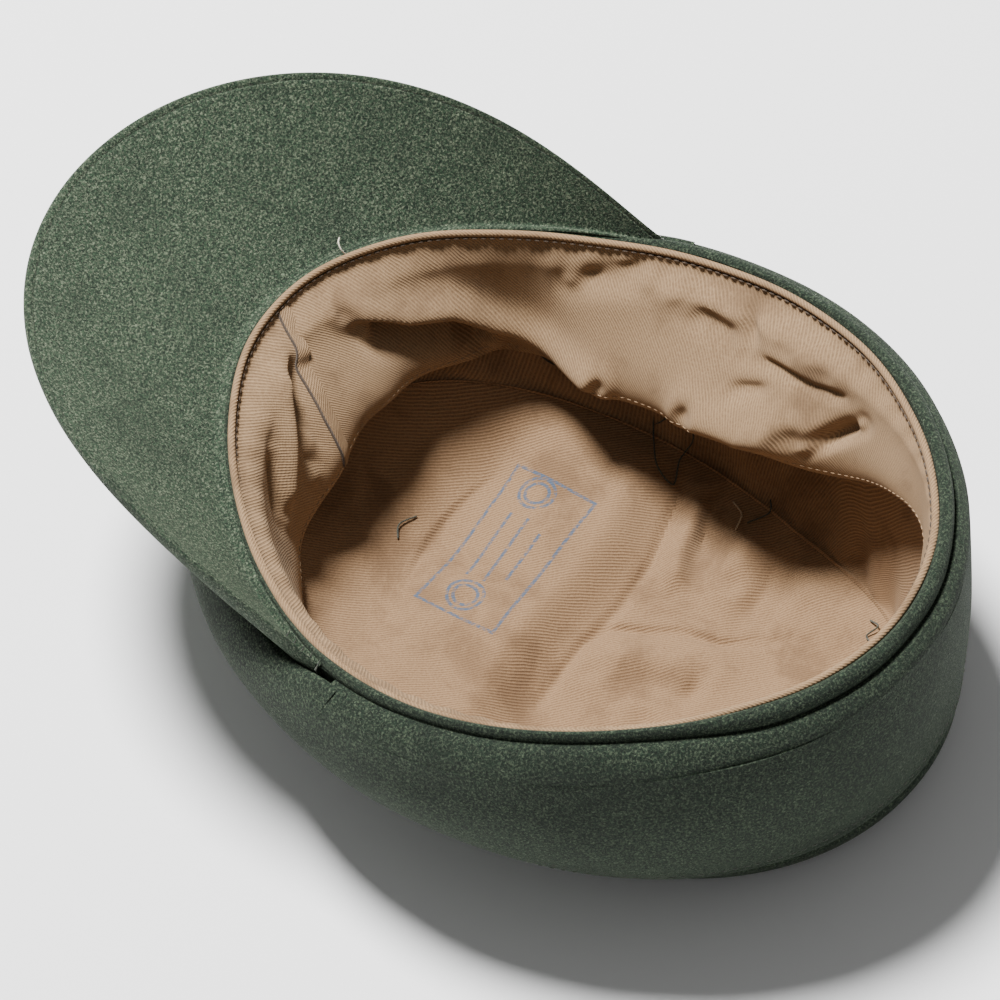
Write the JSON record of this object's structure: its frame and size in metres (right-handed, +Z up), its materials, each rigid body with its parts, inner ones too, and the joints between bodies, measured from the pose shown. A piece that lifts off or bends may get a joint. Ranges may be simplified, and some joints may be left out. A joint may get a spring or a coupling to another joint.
{
  "type": "peaked field cap",
  "caption": "Soft green wool field cap with a stiff peak, tan twill lining and sweatband, and a fold-down flap closed at the front with buttons.",
  "frame": {"origin": "middle of the outer face of the crown, which the cap lies on", "axes": "+Z up out of the head opening, -Y towards the peak, +X to the side with the buttoned-under flap end"},
  "size_m": [0.1916, 0.2816, 0.1109],
  "materials": {
    "wool": "felted melton wool",
    "peak_wool": "felted melton wool over board",
    "lining_twill": "cotton twill",
    "sweatband_twill": "cotton twill",
    "peak_board": "pressed fibre board",
    "button_paint": "pebbled matt paint",
    "sewing_thread": "twisted thread"
  },
  "bodies": {
    "cap": {"crown_panel": "wool", "crown_lining": "lining_twill", "side_panel_right": "wool", "lining_side_right": "lining_twill", "rim_hem_right": "wool", "side_panel_left": "wool", "lining_side_left": "lining_twill", "rim_hem_left": "wool", "sweatband": "sweatband_twill", "sweatband_welt": "sweatband_twill", "peak_top_cover": "peak_wool", "peak_board": "peak_board", "peak_hem": "peak_wool", "peak_under_cover": "peak_wool", "flap_root_fold_right": "wool", "flap_root_fold_left": "wool"},
    "flap_right_1": {"flap_right_1": "wool"},
    "flap_right_2": {"flap_right_2": "wool"},
    "flap_right_3": {"flap_right_3": "wool"},
    "flap_right_4": {"flap_right_4": "wool"},
    "flap_right_5": {"flap_right_5": "wool"},
    "flap_right_6": {"flap_right_6": "wool"},
    "flap_front_right_1": {"flap_front_right_1": "wool"},
    "flap_front_right_2": {"flap_front_right_2": "wool"},
    "flap_front_right_3": {"flap_front_right_3": "wool"},
    "flap_front_right_4": {"flap_front_right_4": "wool", "button_thread_lower": "sewing_thread", "button_lower": "button_paint", "button_thread_upper": "sewing_thread", "button_upper": "button_paint"},
    "flap_left_1": {"flap_left_1": "wool"},
    "flap_left_2": {"flap_left_2": "wool"},
    "flap_left_3": {"flap_left_3": "wool"},
    "flap_left_4": {"flap_left_4": "wool"},
    "flap_left_5": {"flap_left_5": "wool"},
    "flap_left_6": {"flap_left_6": "wool"},
    "flap_front_left_1": {"flap_front_left_1": "wool"},
    "flap_front_left_2": {"flap_front_left_2": "wool"},
    "flap_front_left_3": {"flap_front_left_3": "wool"},
    "flap_front_left_4": {"flap_front_left_4": "wool", "flap_button_tab": "wool"}
  },
  "joints": [
    {"name": "flap_fold", "type": "hinge", "parent": "cap", "child": "flap_right_1", "pos_m": [0.01384, 0.11014, 0.07965], "axis": [0.9854, -0.1683, -0.0251], "range_deg": [0, 180], "deforming": ["flap_button_tab"]},
    {"name": "flap_right_2_fold", "type": "hinge", "parent": "cap", "child": "flap_right_2", "pos_m": [0.04035, 0.10088, 0.07833], "axis": [0.8766, -0.4765, -0.0668], "range_deg": [0, 180.5]},
    {"name": "flap_right_3_fold", "type": "hinge", "parent": "cap", "child": "flap_right_3", "pos_m": [0.06348, 0.08315, 0.07603], "axis": [0.6913, -0.7172, -0.0884], "range_deg": [0, 180.5]},
    {"name": "flap_right_4_fold", "type": "hinge", "parent": "cap", "child": "flap_right_4", "pos_m": [0.08127, 0.05844, 0.07331], "axis": [0.4659, -0.8805, -0.0879], "range_deg": [0, 180.5]},
    {"name": "flap_right_5_fold", "type": "hinge", "parent": "cap", "child": "flap_right_5", "pos_m": [0.09223, 0.02881, 0.07079], "axis": [0.2235, -0.9722, -0.0698], "range_deg": [0, 180.5]},
    {"name": "flap_right_6_fold", "type": "hinge", "parent": "cap", "child": "flap_right_6", "pos_m": [0.09544, -0.00324, 0.06899], "axis": [-0.0249, -0.9988, -0.0413], "range_deg": [0, 180.5]},
    {"name": "flap_front_right_1_bend", "type": "hinge", "parent": "flap_right_6", "child": "flap_front_right_1", "pos_m": [0.09294, -0.01832, 0.04732], "axis": [0.0989, -0.0574, 0.9934], "range_deg": [0, 17.6]},
    {"name": "flap_front_right_2_bend", "type": "hinge", "parent": "flap_front_right_1", "child": "flap_front_right_2", "pos_m": [0.07953, -0.05922, 0.04875], "axis": [0.0864, -0.0943, 0.9918], "range_deg": [0, 21.78]},
    {"name": "flap_front_right_3_bend", "type": "hinge", "parent": "flap_front_right_2", "child": "flap_front_right_3", "pos_m": [0.05358, -0.09066, 0.05018], "axis": [0.0563, -0.1301, 0.9899], "range_deg": [0, 24.13]},
    {"name": "flap_front_right_4_bend", "type": "hinge", "parent": "flap_front_right_3", "child": "flap_front_right_4", "pos_m": [0.01936, -0.10766, 0.05042], "axis": [0.0024, -0.1564, 0.9877], "range_deg": [0, 26.59]},
    {"name": "flap_left_1_fold", "type": "hinge", "parent": "cap", "child": "flap_left_1", "pos_m": [-0.01384, 0.11014, 0.07965], "axis": [0.9854, 0.1683, 0.0251], "range_deg": [0, 180.5]},
    {"name": "flap_left_2_fold", "type": "hinge", "parent": "cap", "child": "flap_left_2", "pos_m": [-0.04035, 0.10088, 0.07833], "axis": [0.8766, 0.4765, 0.0668], "range_deg": [0, 180.5]},
    {"name": "flap_left_3_fold", "type": "hinge", "parent": "cap", "child": "flap_left_3", "pos_m": [-0.06348, 0.08315, 0.07603], "axis": [0.6913, 0.7172, 0.0884], "range_deg": [0, 180.5]},
    {"name": "flap_left_4_fold", "type": "hinge", "parent": "cap", "child": "flap_left_4", "pos_m": [-0.08127, 0.05844, 0.07331], "axis": [0.4659, 0.8805, 0.0879], "range_deg": [0, 180.5]},
    {"name": "flap_left_5_fold", "type": "hinge", "parent": "cap", "child": "flap_left_5", "pos_m": [-0.09223, 0.02881, 0.07079], "axis": [0.2235, 0.9722, 0.0698], "range_deg": [0, 180.5]},
    {"name": "flap_left_6_fold", "type": "hinge", "parent": "cap", "child": "flap_left_6", "pos_m": [-0.09544, -0.00324, 0.06899], "axis": [-0.0249, 0.9988, 0.0413], "range_deg": [0, 180.5]},
    {"name": "flap_front_left_1_bend", "type": "hinge", "parent": "flap_left_6", "child": "flap_front_left_1", "pos_m": [-0.09294, -0.01832, 0.04732], "axis": [0.0989, 0.0574, -0.9934], "range_deg": [0, 17.6]},
    {"name": "flap_front_left_2_bend", "type": "hinge", "parent": "flap_front_left_1", "child": "flap_front_left_2", "pos_m": [-0.07953, -0.05922, 0.04875], "axis": [0.0864, 0.0943, -0.9918], "range_deg": [0, 21.78]},
    {"name": "flap_front_left_3_bend", "type": "hinge", "parent": "flap_front_left_2", "child": "flap_front_left_3", "pos_m": [-0.05358, -0.09066, 0.05018], "axis": [0.0563, 0.1301, -0.9899], "range_deg": [0, 24.13]},
    {"name": "flap_front_left_4_bend", "type": "hinge", "parent": "flap_front_left_3", "child": "flap_front_left_4", "pos_m": [-0.01936, -0.10766, 0.05042], "axis": [0.0024, 0.1564, -0.9877], "range_deg": [0, 26.59]}
  ],
  "couplings": [
    {"joint": "flap_right_2_fold", "follows": "flap_fold", "ratio": 1},
    {"joint": "flap_right_3_fold", "follows": "flap_fold", "ratio": 1},
    {"joint": "flap_right_4_fold", "follows": "flap_fold", "ratio": 1},
    {"joint": "flap_right_5_fold", "follows": "flap_fold", "ratio": 1},
    {"joint": "flap_right_6_fold", "follows": "flap_fold", "ratio": 1},
    {"joint": "flap_front_right_1_bend", "follows": "flap_fold", "ratio": 0.09499},
    {"joint": "flap_front_right_2_bend", "follows": "flap_fold", "ratio": 0.11823},
    {"joint": "flap_front_right_3_bend", "follows": "flap_fold", "ratio": 0.13125},
    {"joint": "flap_front_right_4_bend", "follows": "flap_fold", "ratio": 0.14496},
    {"joint": "flap_left_1_fold", "follows": "flap_fold", "ratio": 1},
    {"joint": "flap_left_2_fold", "follows": "flap_fold", "ratio": 1},
    {"joint": "flap_left_3_fold", "follows": "flap_fold", "ratio": 1},
    {"joint": "flap_left_4_fold", "follows": "flap_fold", "ratio": 1},
    {"joint": "flap_left_5_fold", "follows": "flap_fold", "ratio": 1},
    {"joint": "flap_left_6_fold", "follows": "flap_fold", "ratio": 1},
    {"joint": "flap_front_left_1_bend", "follows": "flap_fold", "ratio": 0.09499},
    {"joint": "flap_front_left_2_bend", "follows": "flap_fold", "ratio": 0.11823},
    {"joint": "flap_front_left_3_bend", "follows": "flap_fold", "ratio": 0.13125},
    {"joint": "flap_front_left_4_bend", "follows": "flap_fold", "ratio": 0.14496}
  ]
}
